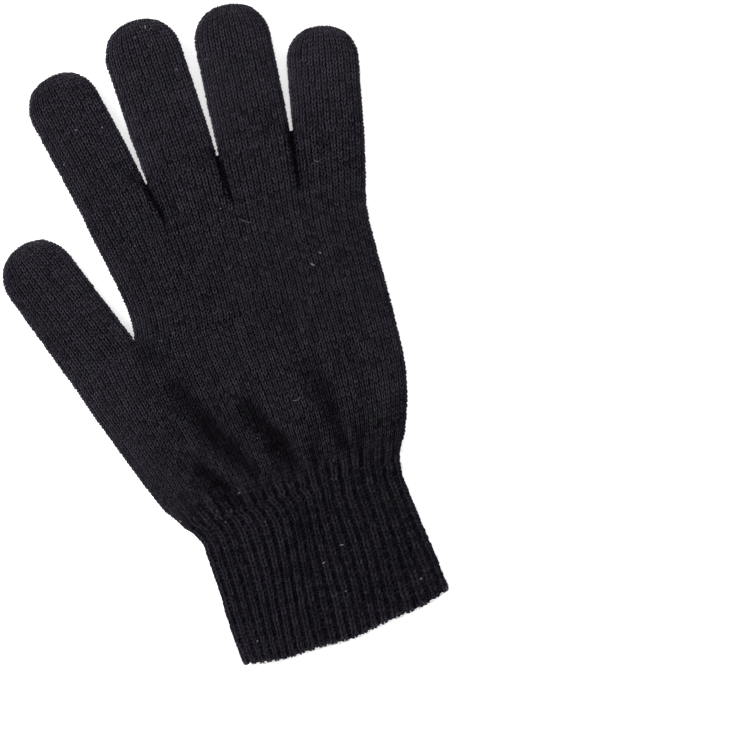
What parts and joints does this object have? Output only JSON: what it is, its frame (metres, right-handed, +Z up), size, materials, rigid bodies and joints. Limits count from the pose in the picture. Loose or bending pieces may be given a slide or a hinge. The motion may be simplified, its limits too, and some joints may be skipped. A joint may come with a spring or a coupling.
{
  "type": "winter glove",
  "caption": "Black stretch-knit winter glove with a ribbed cuff, lying flat with its back up.",
  "frame": {"origin": "middle of the palm's underside, on the surface that the glove rests on", "axes": "+X across the hand away from the thumb, +Y from the cuff to the fingertips, +Z up through the back of the hand"},
  "size_m": [0.1404, 0.229, 0.0094],
  "materials": {
    "jersey_knit": "matt stretch jersey knit in near-black yarn with a faint violet cast",
    "rib_knit": "matt one-by-one rib knit, darker in its grooves"
  },
  "bodies": {
    "root": {"cuff": "rib_knit", "hand": "jersey_knit", "thumb": "jersey_knit", "index_finger": "jersey_knit", "middle_finger": "jersey_knit", "ring_finger": "jersey_knit", "little_finger": "jersey_knit"}
  },
  "joints": []
}
